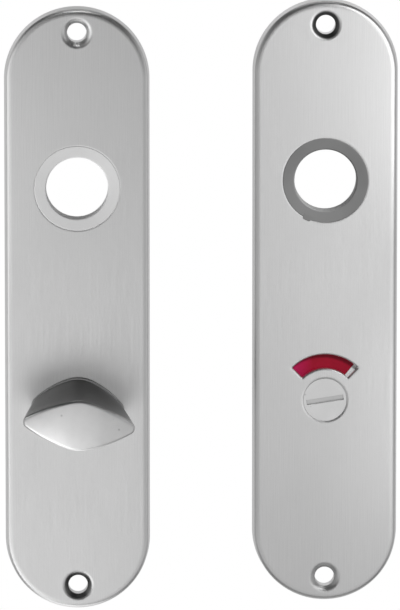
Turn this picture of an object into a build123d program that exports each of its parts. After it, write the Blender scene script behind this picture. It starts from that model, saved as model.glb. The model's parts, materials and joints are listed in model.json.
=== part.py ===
from build123d import *
import os
from math import cos, degrees, hypot, radians, sin, sqrt

# Bathroom lock furniture: a pair of long plates for a door, shown side by side.
# The inside plate carries a thumbturn, the outside plate a coin release with a red and white indicator.
# Millimetres. X runs right and Z up along the door, Y runs into the door, and the door's face is Y = 0.
# A height is measured out from the door's face, towards the room, so it is -Y.
# The origin is the centre of the inside plate's lever bore, on the door's face.
# Every piece is made on its own plate's middle line, and the outside plate's pieces are then moved over.
os.makedirs("parts", exist_ok=True)

# Layout of the pair, which lie side by side with the outside one a little higher
plate_spacing = 70.0
plate_stagger = 2.0
lock_centres = 63.0

# Plate: a pressed, hollow stadium
plate_width = 41.0
plate_length = 172.5
plate_depth = 5.0
plate_draft = 0.4
rim_radius = 1.1
sheet = 1.5
top_above_lever = 51.25
seam_clearance = 0.05
pick_margin = 0.02

# Screw holes at the plate's two ends
screw_inset = 7.0
screw_hole_radius = 2.75
countersink_radius = 3.9
countersink_edge = 1.6
screw_boss_wall = 2.0

# Plastic bush in the lever hole, and the push-on washer behind it
lever_bore_radius = 8.75
lever_barrel_radius = 10.5
lever_flange_radius = 12.0
lever_flange = 1.2
lever_edge = 0.2
key_width = 2.4
key_proud = 0.6
key_corner = 0.4
key_angle = 154.0
cup_wall = 1.4
cup_floor = 1.2
retainer_outer_radius = 13.2
retainer_rim = 1.4
retainer_thickness = 0.6
retainer_teeth = 10
retainer_notch = 1.2
retainer_grip = 0.02

# Thumbturn
knob_turn_angle = -4.0
knob_height = 27.0
knob_face_length = 31.9
knob_face_width = 14.6
knob_face_apex = 10.0
knob_face_flank = 46.0
knob_face_tip = 2.0
knob_waist_length = 28.8
knob_waist_width = 13.4
knob_waist_apex = 9.0
knob_waist_flank = 45.0
knob_waist_tip = 2.2
knob_waist_height = 12.5
knob_foot_length = 25.8
knob_foot_width = 17.5
knob_foot_apex = 9.0
knob_foot_flank = 24.0
knob_foot_tip = 3.0
knob_foot_rim = 0.35
knob_foot_thickness = 0.9
knob_clearance = 0.3
knob_crown_radius = 70.0
knob_edge = 0.7
shank_radius = 7.0
shank_end = 0.1

# Square spindle that the thumbturn drives
spindle_side = 8.0
spindle_reach = 45.0
spindle_in_knob = 12.0
spindle_edge = 0.4
socket_clearance = 0.05

# Set screw under the knob
grub_radius = 2.0
grub_length = 3.0
grub_height = 3.6
grub_key_across = 2.0
grub_key_depth = 1.5

# Thumbturn bearing and what holds the shank behind the sheet
running = 0.05
bearing_wall = 1.0
bearing_flange_radius = 10.0
bearing_flange = 0.8
bearing_proud = 0.15
washer_clearance = 0.15
thrust_washer_radius = 10.0
thrust_washer = 0.5
spring_washer_radius = 9.6
spring_washer_height = 0.7
spring_washer_sheet = 0.3
circlip_radius = 8.9
circlip_eccentric = 0.5
circlip = 0.7
circlip_groove = 0.7
circlip_ease = 0.02
circlip_gap = 4.0
circlip_lug_radius = 1.5
circlip_lug_hole = 0.6
circlip_hole_shift = 0.05

# Coin release
rotor_head_radius = 6.05
rotor_head_running = 0.12
rotor_head_sink = 0.1
rotor_flange_radius = 7.75
rotor_flange = 0.5
rotor_flange_gap = 0.1
rotor_tail_radius = 6.7
rotor_tail_flats = 11.4
rotor_tail_reach = 6.0
rotor_web = 1.4
rotor_turn_angle = 4.0
release_play = 0.1
coin_slot_length = 10.5
coin_slot_width = 1.5
coin_slot_depth = 1.0
coin_slot_turn_angle = 8.7
release_edge = 0.5

# Window and indicator disc
window_inner_radius = 9.05
window_outer_radius = 13.05
window_half_angle = 45.0
window_edge = 0.55
disc_radius = 14.0
disc_base = 0.9
segment_inner_radius = 8.4
segment_outer_radius = 13.7
segment_thickness = 0.5
segment_span_angle = 95.0
colour_change_angle = -39.5

# Keeper strip behind the indicator
glide_washer_radius = 9.0
glide_washer = 0.3
disc_spring_radius = 8.8
disc_spring_height = 0.55
disc_spring_sheet = 0.25
disc_spring_gap = 0.05
keeper = 0.6
keeper_half_length = 17.6
keeper_end_radius = 3.6
keeper_waist_radius = 9.6
keeper_boss_radius = 2.4
rivet_radius = 1.0
rivet_head_radius = 1.9
rivet_head = 0.35
rivet_depth = 2.2

# Heights that the sizes above give
sheet_back = plate_depth - sheet
cup_seat = plate_depth - lever_flange
cup_back = cup_seat - cup_floor
knob_bottom = plate_depth + knob_clearance
knob_front = plate_depth + knob_height
rotor_face = plate_depth - rotor_head_sink
rotor_seat = sheet_back - rotor_flange_gap
disc_front = rotor_seat - rotor_flange
disc_back = disc_front - disc_base
track_front = disc_front + segment_thickness
disc_spring_front = disc_back - glide_washer
keeper_front = disc_spring_front - disc_spring_height - disc_spring_gap
keeper_back = keeper_front - keeper
thrust_front = sheet_back - bearing_flange
spring_front = thrust_front - thrust_washer
circlip_front = spring_front - spring_washer_height
circlip_back = circlip_front - circlip
coin_slot_floor = rotor_face - coin_slot_depth
bearing_radius = shank_radius + running + bearing_wall

# Places down each plate's middle line, from its lever bore
lock_z = -lock_centres
plate_middle = top_above_lever - plate_length / 2
screw_heights = [top_above_lever - screw_inset, top_above_lever - plate_length + screw_inset]
keeper_heights = [lock_z - keeper_half_length, lock_z + keeper_half_length]
outside_spot = Pos(plate_spacing, 0, plate_stagger)


def place(z, height=0.0, turn=0.0):
    """A spot over the door's face, facing the room and turned counterclockwise."""
    plane = Plane(origin=(0, -height, z), x_dir=(1, 0, 0), z_dir=(0, -1, 0))
    return plane.location * Rot(0, 0, turn)


def slab(z, outline, low, high, turn=0.0):
    """A flat outline raised square to the door, from one height to another."""
    return extrude(place(z, low, turn) * outline, amount=high - low)


def drum(z, radius, low, high):
    """A solid cylinder square to the door."""
    return slab(z, Circle(radius), low, high)


def ring(z, inner, outer, low, high):
    """A flat ring square to the door."""
    return slab(z, Circle(outer) - Circle(inner), low, high)


def square(side):
    """A square outline."""
    return Rectangle(side, side)


def stadium(width, length, height):
    """A long outline with half-round ends, centred on the plate."""
    return place(plate_middle, height, 90) * SlotOverall(length, width)


def sector(inner, outer, start, span):
    """A piece of a flat ring; angles run counterclockwise from straight up."""
    reach = 2 * outer
    rays = [radians(start), radians(start + span / 2), radians(start + span)]
    corners = [(0, 0)] + [(-reach * sin(ray), reach * cos(ray)) for ray in rays]
    return (Circle(outer) - Circle(inner)) & make_face(Polyline(*corners, close=True))


def leaf(length, width, apex, flank, tip):
    """A long outline of tangent arcs, given by their radii: two wide corners, four flanks and two tips."""
    corner = Vector(0, width / 2 - apex)
    end = Vector(length / 2 - tip, 0)
    reach = end - corner
    along = ((flank - apex) ** 2 - (flank - tip) ** 2 + reach.length**2) / (2 * reach.length)
    aside = sqrt((flank - apex) ** 2 - along**2)
    forward = reach.normalized()
    centre = corner + forward * along + forward.rotate(Axis.Z, -90) * aside
    high = corner + (corner - centre).normalized() * apex
    low = end + (end - centre).normalized() * tip
    middle = centre + ((high + low) / 2 - centre).normalized() * flank
    edges = []
    for side in (1, -1):
        edges.append(ThreePointArc((-high.X, side * high.Y), (0, side * width / 2), (high.X, side * high.Y)))
        edges.append(ThreePointArc((side * low.X, -low.Y), (side * length / 2, 0), (side * low.X, low.Y)))
        for end_side in (1, -1):
            flank_points = [(end_side * point.X, side * point.Y) for point in (high, middle, low)]
            edges.append(ThreePointArc(*flank_points))
    return make_face(edges)


def curved_washer(z, inner, outer, front, height, thickness):
    """A spring washer: a flat ring of sheet bowed about an upright line, its middle towards the room."""
    rise = height - thickness
    bow = (outer**2 + rise**2) / (2 * rise)
    reach = 3 * outer
    sheet_roll = Cylinder(bow, reach) - Cylinder(bow - thickness, reach)
    return ring(z, inner, outer, front - height, front) & (Pos(0, bow - front, z) * sheet_roll)


def plate_shell():
    """The pressed sheet: drafted sides, a rounded rim, a hollow back and a boss at each screw."""
    foot = stadium(plate_width, plate_length, 0)
    face = stadium(plate_width - 2 * plate_draft, plate_length - 2 * plate_draft, plate_depth)
    shell = loft([foot, face], ruled=True)
    shell = fillet(shell.edges().group_by(Axis.Y)[0], rim_radius)
    hollow_width = plate_width - 2 * sheet
    hollow_length = plate_length - 2 * sheet
    mouth = stadium(hollow_width, hollow_length, 0)
    roof = stadium(hollow_width - 2 * plate_draft, hollow_length - 2 * plate_draft, sheet_back)
    shell -= loft([mouth, roof], ruled=True)
    for z in screw_heights:
        shell += drum(z, screw_hole_radius + screw_boss_wall, 0, sheet_back)
    return shell


def soften(shell, z, low, high, radius):
    """Rounds the plate's front edges whose middles lie between two distances from a spot."""
    front = [e for e in shell.edges() if e.bounding_box().max.Y < pick_margin - plate_depth]
    middles = [(e, e.position_at(0.5)) for e in front]
    picked = [e for e, middle in middles if low < hypot(middle.X, middle.Z - z) < high]
    return fillet(picked, radius)


def drilled_plate():
    """The shell with its countersunk screw holes and the cup that takes the lever's bush."""
    shell = plate_shell()
    countersink_depth = countersink_radius - screw_hole_radius
    for z in screw_heights:
        shell -= drum(z, screw_hole_radius, 0, plate_depth)
        narrow = place(z, plate_depth - countersink_depth) * Circle(screw_hole_radius)
        wide = place(z, plate_depth) * Circle(countersink_radius)
        shell -= loft([narrow, wide])
        shell = soften(shell, z, 0, countersink_radius + pick_margin, countersink_edge)
    shell += drum(0, lever_flange_radius + cup_wall, cup_back, sheet_back)
    shell -= drum(0, lever_flange_radius + seam_clearance, cup_seat, plate_depth)
    shell -= drum(0, lever_barrel_radius + seam_clearance, 0, plate_depth)
    return shell


def inside_plate():
    """The inside plate, with the hole for the thumbturn's bearing."""
    return drilled_plate() - drum(lock_z, bearing_radius + seam_clearance, 0, plate_depth)


def bush_key(clearance):
    """The small nib at the edge of the outside bush's ring that stops it from turning."""
    width = key_width + 2 * clearance
    reach = lever_flange_radius + key_proud + clearance
    nib = Pos(0, reach / 2) * RectangleRounded(width, reach, width / 2 - key_corner)
    return slab(0, nib, cup_seat, plate_depth, key_angle)


def outside_plate():
    """The outside plate, with the release's hole, the window, the bush's keyway and two keeper bosses."""
    shell = drilled_plate() - bush_key(seam_clearance)
    for z in keeper_heights:
        shell += drum(z, keeper_boss_radius, keeper_front, sheet_back)
        shell -= drum(z, rivet_radius + seam_clearance, keeper_front, keeper_front + rivet_depth)
    head_hole = rotor_head_radius + rotor_head_running
    shell -= drum(lock_z, head_hole, sheet_back, plate_depth)
    shell = soften(shell, lock_z, 0, head_hole + pick_margin, release_edge)
    arch = sector(window_inner_radius, window_outer_radius, -window_half_angle, 2 * window_half_angle)
    shell -= slab(lock_z, arch, sheet_back, plate_depth)
    nearest = window_inner_radius - pick_margin
    return soften(shell, lock_z, nearest, window_outer_radius + pick_margin, window_edge)


def lever_bush():
    """Plastic bush that the lever's neck turns in, its ring flush with the plate's face."""
    bush = drum(0, lever_barrel_radius, 0, plate_depth)
    bush += drum(0, lever_flange_radius, cup_seat, plate_depth)
    bush -= drum(0, lever_bore_radius, 0, plate_depth)
    return chamfer(bush.edges().group_by(Axis.Y)[0], lever_edge)


def keyed_bush():
    """The outside plate's bush, with its key."""
    return lever_bush() + (bush_key(0) - drum(0, lever_barrel_radius, cup_seat, plate_depth))


def bush_retainer():
    """Push-on washer with teeth that grip the bush's barrel behind the plate."""
    low = cup_back - retainer_thickness
    washer = ring(0, lever_barrel_radius + retainer_grip, retainer_outer_radius, low, cup_back)
    tooth_root = retainer_outer_radius - retainer_rim
    notch = Pos(tooth_root / 2, 0) * Rectangle(tooth_root, retainer_notch)
    for tooth in range(retainer_teeth):
        washer -= slab(0, notch, low, cup_back, 360 / retainer_teeth * tooth)
    return washer


def knob_grip():
    """The grip: a leaf that grows longer and slimmer towards its crowned face."""
    foot = leaf(knob_foot_length, knob_foot_width, knob_foot_apex, knob_foot_flank, knob_foot_tip)
    waist = leaf(knob_waist_length, knob_waist_width, knob_waist_apex, knob_waist_flank, knob_waist_tip)
    face = leaf(knob_face_length, knob_face_width, knob_face_apex, knob_face_flank, knob_face_tip)
    waist_height = plate_depth + knob_waist_height
    levels = [(knob_bottom, foot), (waist_height, waist), (knob_front, face)]
    grip = loft([place(lock_z, height, knob_turn_angle) * outline for height, outline in levels])
    grip &= Pos(0, knob_crown_radius - knob_front, lock_z) * Sphere(knob_crown_radius)
    rim = [e for e in grip.edges() if e.bounding_box().max.Y < -waist_height]
    return fillet(rim, knob_edge)


def grub_place(depth):
    """A spot under the spindle's middle line on the set screw's line, which it points along."""
    return place(lock_z, plate_depth + grub_height, knob_turn_angle) * Pos(0, -depth, 0) * Rot(90, 0, 0)


def thumbturn_knob():
    """The grip with its foot, its round grooved shank and the square socket for the spindle."""
    rim = knob_foot_rim
    foot = leaf(knob_foot_length, knob_foot_width, knob_foot_apex, knob_foot_flank, knob_foot_tip)
    foot = offset(foot, rim)
    knob = knob_grip()
    knob += slab(lock_z, foot, knob_bottom, knob_bottom + knob_foot_thickness, knob_turn_angle)
    knob += drum(lock_z, shank_radius, shank_end, knob_bottom)
    groove_floor = shank_radius - circlip_groove
    knob -= ring(lock_z, groove_floor, shank_radius + pick_margin, circlip_back, circlip_front)
    socket = square(spindle_side + 2 * socket_clearance)
    knob -= slab(lock_z, socket, shank_end, plate_depth + spindle_in_knob, knob_turn_angle)
    bore = Cylinder(grub_radius + seam_clearance, knob_foot_width)
    return knob - grub_place(knob_foot_width / 2) * bore


def thumbturn_grub_screw():
    """Headless set screw that bears on the spindle's lower flat."""
    screw = grub_place(spindle_side / 2 + grub_length / 2) * Cylinder(grub_radius, grub_length)
    hexagon = RegularPolygon(grub_key_across / 2, 6, major_radius=False)
    key = extrude(hexagon, amount=grub_key_depth / 2, both=True)
    return screw - grub_place(spindle_side / 2 + grub_length - grub_key_depth / 2) * key


def thumbturn_spindle():
    """Square bar that reaches through the lock's case."""
    end = plate_depth + spindle_in_knob
    bar = slab(lock_z, square(spindle_side), -spindle_reach, end, knob_turn_angle)
    return chamfer(bar.edges().group_by(Axis.Y)[-1], spindle_edge)


def thumbturn_bearing():
    """Flanged plastic bush that the thumbturn's shank turns in."""
    front = plate_depth + bearing_proud
    bush = drum(lock_z, bearing_radius, thrust_front, front)
    bush += drum(lock_z, bearing_flange_radius, thrust_front, sheet_back)
    return bush - drum(lock_z, shank_radius + running, thrust_front, front)


def thumbturn_circlip():
    """Open retaining ring in the shank's groove, thicker opposite its gap, with two holed lugs."""
    outline = Pos(0, circlip_eccentric) * Circle(circlip_radius)
    lug_x = (circlip_gap + circlip_lug_radius) / 2
    lugs = [(side * lug_x, -shank_radius - circlip_lug_radius / 2) for side in (-1, 1)]
    for lug in lugs:
        outline += Pos(*lug) * Circle(circlip_lug_radius)
    outline -= Circle(shank_radius - circlip_groove + circlip_ease)
    outline -= Pos(0, -circlip_radius) * Rectangle(circlip_gap, 2 * circlip_radius)
    for lug in lugs:
        outline -= Pos(*lug) * Pos(lug[0] * circlip_hole_shift, 0) * Circle(circlip_lug_hole)
    return slab(lock_z, outline, circlip_back, circlip_front, knob_turn_angle)


def tail_outline(clearance):
    """The rotor tail's round outline with two flats."""
    flats = Rectangle(4 * rotor_tail_radius, rotor_tail_flats + 2 * clearance)
    return Circle(rotor_tail_radius + clearance) & flats


def coin_release_rotor():
    """Slotted head in the plate's hole, a flange behind the sheet, and a tail with a square socket."""
    rotor = drum(lock_z, rotor_head_radius, rotor_seat, rotor_face)
    rotor += drum(lock_z, rotor_flange_radius, disc_front, rotor_seat)
    rotor += slab(lock_z, tail_outline(0), -rotor_tail_reach, disc_front, rotor_turn_angle)
    socket = square(spindle_side + 2 * release_play)
    rotor -= slab(lock_z, socket, -rotor_tail_reach, coin_slot_floor - rotor_web, rotor_turn_angle)
    slot = Rectangle(coin_slot_length, coin_slot_width)
    return rotor - slab(lock_z, slot, coin_slot_floor, rotor_face, coin_slot_turn_angle)


def indicator_disc():
    """White disc keyed on the rotor's tail; half of its raised track is its own white face."""
    start = colour_change_angle - segment_span_angle
    track = sector(segment_inner_radius, segment_outer_radius, start, segment_span_angle)
    disc = drum(lock_z, disc_radius, disc_back, disc_front)
    disc += slab(lock_z, track, disc_front, track_front)
    return disc - slab(lock_z, tail_outline(seam_clearance), disc_back, disc_front, rotor_turn_angle)


def indicator_red_segment():
    """Red arc laid on the disc, next to the white track."""
    seam_angle = degrees(seam_clearance / segment_outer_radius)
    start = colour_change_angle + seam_angle
    arc = sector(segment_inner_radius, segment_outer_radius, start, segment_span_angle)
    return slab(lock_z, arc, disc_front, track_front)


def indicator_keeper():
    """Steel strip across the back of the disc, with a hole that steadies the rotor's tail."""
    length = 2 * (keeper_half_length + keeper_end_radius)
    outline = Rot(0, 0, 90) * SlotOverall(length, 2 * keeper_end_radius) + Circle(keeper_waist_radius)
    outline -= Circle(rotor_tail_radius + running)
    strip = slab(lock_z, outline, keeper_back, keeper_front)
    for z in keeper_heights:
        strip -= drum(z, rivet_radius + seam_clearance, keeper_back, keeper_front)
    return strip


def keeper_rivet(z):
    """One of the rivets that hold the keeper to the plate's bosses."""
    shank = drum(z, rivet_radius, keeper_back, keeper_front + rivet_depth)
    return shank + drum(z, rivet_head_radius, keeper_back - rivet_head, keeper_back)


def thumbturn_washer():
    """Flat washer against the bearing's flange."""
    return ring(lock_z, shank_radius + washer_clearance, thrust_washer_radius, spring_front, thrust_front)


def thumbturn_spring():
    """Curved spring washer between the flat washer and the retaining ring."""
    hole = shank_radius + washer_clearance
    height = spring_washer_height
    return curved_washer(lock_z, hole, spring_washer_radius, spring_front, height, spring_washer_sheet)


def indicator_glide():
    """Thin plastic washer behind the disc."""
    hole = rotor_tail_radius + washer_clearance
    return ring(lock_z, hole, glide_washer_radius, disc_spring_front, disc_back)


def indicator_spring():
    """Curved spring washer that presses the disc forward from the keeper."""
    hole = rotor_tail_radius + washer_clearance
    height = disc_spring_height
    return curved_washer(lock_z, hole, disc_spring_radius, disc_spring_front, height, disc_spring_sheet)


inside_nodes = {
    "inside_plate": inside_plate(),
    "inside_lever_bush": lever_bush(),
    "inside_bush_retainer": bush_retainer(),
    "thumbturn_knob": thumbturn_knob(),
    "thumbturn_grub_screw": thumbturn_grub_screw(),
    "thumbturn_spindle": thumbturn_spindle(),
    "thumbturn_bearing": thumbturn_bearing(),
    "thumbturn_thrust_washer": thumbturn_washer(),
    "thumbturn_spring_washer": thumbturn_spring(),
    "thumbturn_circlip": thumbturn_circlip(),
}
outside_nodes = {
    "outside_plate": outside_plate(),
    "outside_lever_bush": keyed_bush(),
    "outside_bush_retainer": bush_retainer(),
    "coin_release_rotor": coin_release_rotor(),
    "indicator_disc": indicator_disc(),
    "indicator_red_segment": indicator_red_segment(),
    "indicator_glide_washer": indicator_glide(),
    "indicator_spring_washer": indicator_spring(),
    "indicator_keeper": indicator_keeper(),
    "keeper_rivets": Compound([keeper_rivet(z) for z in keeper_heights]),
}

for name, piece in inside_nodes.items():
    export_step(piece, f"parts/{name}.step")
for name, piece in outside_nodes.items():
    export_step(outside_spot * piece, f"parts/{name}.step")
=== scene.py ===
# %% [markdown]
# # A pair of bathroom door plates, dressed for the camera
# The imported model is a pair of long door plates: the inside one with a thumbturn, the outside one with a
# coin release and a red and white indicator. It comes as a fixed frame, already the right size and in the
# right place. Everything below gives it the looks of the real thing. A shape is only made again where light
# shows that it should be smoother or softer than the solid, and the rest keeps its solid and gets a better
# finish.

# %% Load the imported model
import json
from math import atan2, cos, hypot, pi, prod, radians, sin, sqrt

import bmesh
import bpy
from mathutils import Matrix, Vector

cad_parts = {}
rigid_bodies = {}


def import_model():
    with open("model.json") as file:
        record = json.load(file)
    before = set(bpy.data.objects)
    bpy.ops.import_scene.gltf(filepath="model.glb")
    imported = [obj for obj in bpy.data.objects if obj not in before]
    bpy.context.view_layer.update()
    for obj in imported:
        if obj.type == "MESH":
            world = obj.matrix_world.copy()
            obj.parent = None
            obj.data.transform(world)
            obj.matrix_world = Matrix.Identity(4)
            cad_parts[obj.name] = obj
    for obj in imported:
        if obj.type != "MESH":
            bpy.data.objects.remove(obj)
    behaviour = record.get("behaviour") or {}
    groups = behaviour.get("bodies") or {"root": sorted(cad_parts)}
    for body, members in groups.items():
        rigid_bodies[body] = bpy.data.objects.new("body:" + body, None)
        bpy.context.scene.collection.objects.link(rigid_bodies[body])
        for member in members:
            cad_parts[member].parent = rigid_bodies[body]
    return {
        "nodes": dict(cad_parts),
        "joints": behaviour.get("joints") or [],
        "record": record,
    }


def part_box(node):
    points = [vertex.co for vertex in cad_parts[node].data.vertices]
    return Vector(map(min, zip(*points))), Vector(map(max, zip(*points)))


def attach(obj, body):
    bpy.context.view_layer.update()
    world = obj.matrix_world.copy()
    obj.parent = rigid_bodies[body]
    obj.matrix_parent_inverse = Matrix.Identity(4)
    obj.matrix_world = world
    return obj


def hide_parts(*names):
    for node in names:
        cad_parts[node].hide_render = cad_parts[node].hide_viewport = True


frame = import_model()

scene = bpy.context.scene
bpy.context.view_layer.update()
nodes = frame["nodes"]
mounts = {mount["name"]: Vector(mount["pos_m"]) for mount in frame["record"]["mounts"]}
axes = {joint["name"]: Vector(joint["pos_m"]) for joint in frame["joints"]}

# %% [markdown]
# ## Where things are
# The model's own points are used for every place: the two lever holes are mounts, and the thumbturn and the
# coin release turn about joints. Sizes that the frame doesn't give are written here once, in millimetres,
# as a maker would measure them on the part.

# %% Places and sizes
MM = 0.001
inside_lever = mounts["inside_lever_bore"]
outside_lever = mounts["outside_lever_bore"]
thumb_axis = axes["thumbturn_turn"]
coin_axis = axes["release_turn"]
low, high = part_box("inside_plate")
plate_width = (high.x - low.x) / MM
plate_length = (high.z - low.z) / MM
plate_depth = -low.y / MM
plate_middle = (high.z + low.z) / 2 / MM
lock_drop = thumb_axis.z / MM
sheet = 1.5
sheet_back = plate_depth - sheet
draft = 0.4
screw_inset = 7.0
screw_places = [plate_middle + plate_length / 2 - screw_inset, plate_middle - plate_length / 2 + screw_inset]
print(f"plate {plate_width:.1f} x {plate_length:.1f} x {plate_depth:.1f} mm, lock {-lock_drop:.0f} mm down")

# %% [markdown]
# ## The camera
# Small hardware is photographed from far away with a long lens, so that straight sides stay parallel. The
# camera stands 2.5 metres off, almost straight in front and about ten degrees above the plates, which is
# why the thumbturn's face hangs below its axis in the picture. The lens is worked out from the scale that
# the picture has to have.

# %% Camera
def hang(name, data):
    """A new object in the scene."""
    item = bpy.data.objects.new(name, data)
    scene.collection.objects.link(item)
    return item


camera_distance = 2.5
camera_height_angle = radians(10.4)
camera_side_angle = radians(-1.5)
pixels_per_mm = 3.54
picture_height = 610
sensor = 36.0
aim = Vector((34.6 * MM, -plate_depth * MM, -33.5 * MM))
camera_data = bpy.data.cameras.new("camera")
camera_data.sensor_width = sensor
camera_data.lens = pixels_per_mm / MM * camera_distance * sensor / picture_height
camera = hang("camera", camera_data)
camera.rotation_euler = (pi / 2 - camera_height_angle, 0, camera_side_angle)
camera.location = aim + camera.rotation_euler.to_matrix() @ Vector((0, 0, camera_distance))
scene.camera = camera
print(f"lens {camera_data.lens:.0f} mm")

# %% [markdown]
# ## Helpers for nodes
# Materials and Geometry Nodes are both trees of nodes. One short function adds a node, sets its properties,
# fills its inputs with numbers or with links from other nodes, and gives back what comes out. Written this
# way a tree reads like a list of steps. Sums, and the parts of a vector, are so common that they have a
# function each.

# %% Functions for all node trees
def step(tree, kind, fill=None, out=0, **settings):
    """Adds a node, sets its properties, fills its inputs, and gives one output, or all where out is None."""
    node = tree.nodes.new(kind)
    for name, value in settings.items():
        setattr(node, name, value)
    for key, value in (fill or {}).items():
        for item in value if isinstance(value, list) else [value]:
            if isinstance(item, bpy.types.NodeSocket):
                tree.links.new(item, node.inputs[key])
            else:
                node.inputs[key].default_value = item
    return node.outputs if out is None else node.outputs[out]


def calc(tree, operation, *values):
    return step(tree, "ShaderNodeMath", dict(enumerate(values)), operation=operation)


def split(tree, vector):
    return step(tree, "ShaderNodeSeparateXYZ", {0: vector}, out=None)


def combine(tree, **parts):
    return step(tree, "ShaderNodeCombineXYZ", parts)


print("node helpers ready")

# %% [markdown]
# ## Finishes
# A finish is more than a colour. Brushed metal has hair lines that stretch the highlights, cast metal has a
# fine bloom, and moulded plastic is dull with a faint skin. Each finish starts from the same small set of
# nodes: the object's own coordinates, noise at the scale of the real grain, and a bump. Numbers that are
# the same all over are set on the shader itself.

# %% The common start of every finish
class Finish:
    """A material with its shader, its object coordinates and a few ready-made parts."""

    def __init__(self, name, metallic, roughness, **constants):
        self.material = bpy.data.materials.new(name)
        self.material.use_nodes = True
        self.tree = self.material.node_tree
        self.shader = self.tree.nodes["Principled BSDF"]
        self.shader.inputs["Metallic"].default_value = metallic
        self.shader.inputs["Roughness"].default_value = roughness
        for name, value in constants.items():
            self.shader.inputs[name.replace("_", " ").title().replace("Ior", "IOR")].default_value = value
        self.where = step(self.tree, "ShaderNodeTexCoord", out="Object")

    def stretched(self, scale):
        """The object's coordinates, stretched or squeezed along each axis."""
        return step(self.tree, "ShaderNodeMapping", {"Vector": self.where, "Scale": scale})

    def noise(self, scale, detail=3.0, rough=0.6, where=None):
        """Noise between 0 and 1."""
        fill = {"Vector": where or self.where, "Scale": scale, "Detail": detail, "Roughness": rough}
        return step(self.tree, "ShaderNodeTexNoise", fill, out="Fac")

    def between(self, value, low=0.0, high=1.0, start=0.3, end=0.7):
        """A value that goes from one number to another where the given one goes from start to end."""
        fill = {"Value": value, "From Min": start, "From Max": end, "To Min": low, "To Max": high}
        return step(self.tree, "ShaderNodeMapRange", fill, out="Result")

    def times(self, one, other):
        """The product of two values."""
        return calc(self.tree, "MULTIPLY", one, other)

    def blend(self, amount, one, other):
        """A colour between two others; each is a colour or a link."""
        fill = {0: amount, 6: one, 7: other}
        return step(self.tree, "ShaderNodeMix", fill, out=2, data_type="RGBA")

    def bump(self, height, strength, depth, normal=None):
        """Turns a height into a bent normal."""
        fill = {"Height": height, "Strength": strength, "Distance": depth}
        if normal:
            fill["Normal"] = normal
        return step(self.tree, "ShaderNodeBump", fill, out="Normal")

    def wire(self, **sockets):
        """Links results to the shader's inputs."""
        for name, socket in sockets.items():
            self.tree.links.new(socket, self.shader.inputs[name.replace("_", " ").title()])
        return self.material


def grey(value):
    """A neutral colour."""
    return (value, value, value, 1.0)


finishes = {}


def finished(name, material):
    """Keeps a material under its slot's name."""
    finishes[name] = material
    print(f"{name}: {len(material.node_tree.nodes)} nodes")


# %% [markdown]
# ### Brushed aluminium for the plates
# The plates are ground with a belt along their length, so the grain stands upright: scratches a quarter of
# a millimetre apart and centimetres long. Noise is squeezed across and stretched along to draw them, once
# fine and once finer. Broad cloudy patches keep the face from looking printed. Two of the four countersinks
# are dark in the photograph, the upper one of the outside plate and the lower one of the inside plate, so
# their cones get painted shade: a dark grey painted into the metal's colour.

# %% Brushed aluminium
shaded_cone_depth = (-0.0036, -0.0030)
shaded_cone_edge = (0.0037, 0.0041)


def brushed_aluminium():
    finish = Finish("brushed_aluminium", 1.0, 0.36)
    grain = finish.noise(1.0, 4.0, 0.7, finish.stretched((4200, 4200, 60)))
    hair = finish.noise(1.0, 2.0, 0.5, finish.stretched((9000, 9000, 220)))
    patch = finish.noise(34.0, 2.0, 0.5, finish.stretched((1.6, 1.6, 0.7)))
    tone = finish.blend(finish.between(grain), grey(0.70), grey(0.82))
    tone = finish.blend(finish.between(patch, 0.0, 0.35), tone, grey(0.68))
    flat = finish.stretched((1, 0, 1))
    depth = split(finish.tree, finish.where)["Y"]
    front = finish.between(depth, 1.0, 0.0, *shaded_cone_depth)
    # Painted shade: the cones of these two countersinks are darkened to a dark grey in the colour.
    for lever, along in ((outside_lever, screw_places[0]), (inside_lever, screw_places[1])):
        fill = {0: flat, 1: (lever.x, 0, lever.z + along * MM)}
        away = step(finish.tree, "ShaderNodeVectorMath", fill, out="Value", operation="DISTANCE")
        cone_shade = finish.between(away, 1.0, 0.0, *shaded_cone_edge)
        tone = finish.blend(finish.times(cone_shade, front), tone, grey(0.16))
    rough = finish.between(grain, 0.30, 0.44)
    lines = finish.bump(grain, 0.35, 0.00003)
    lines = finish.bump(hair, 0.2, 0.00001, lines)
    return finish.wire(base_color=tone, roughness=rough, normal=lines)


finished("brushed_aluminium", brushed_aluminium())

# %% [markdown]
# ### Satin castings for the thumbturn and the coin release
# These are cast, blasted with fine beads and anodised. The bloom is far finer than the plate's grain and
# has no direction. A few pits are left from casting: Voronoi cells give each pit a place, and a random
# colour picks which cells have one. The slot's floor, below the plate's face, has painted shade, a darker
# grey than the head round it, and so have the grip's flanks behind its face.

# %% Satin aluminium
slot_shade_depth = (-0.0048, -0.0042)
flank_shade_front = (-0.0302, -0.0292)
flank_shade_back = (-0.0060, -0.0052)


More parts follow.
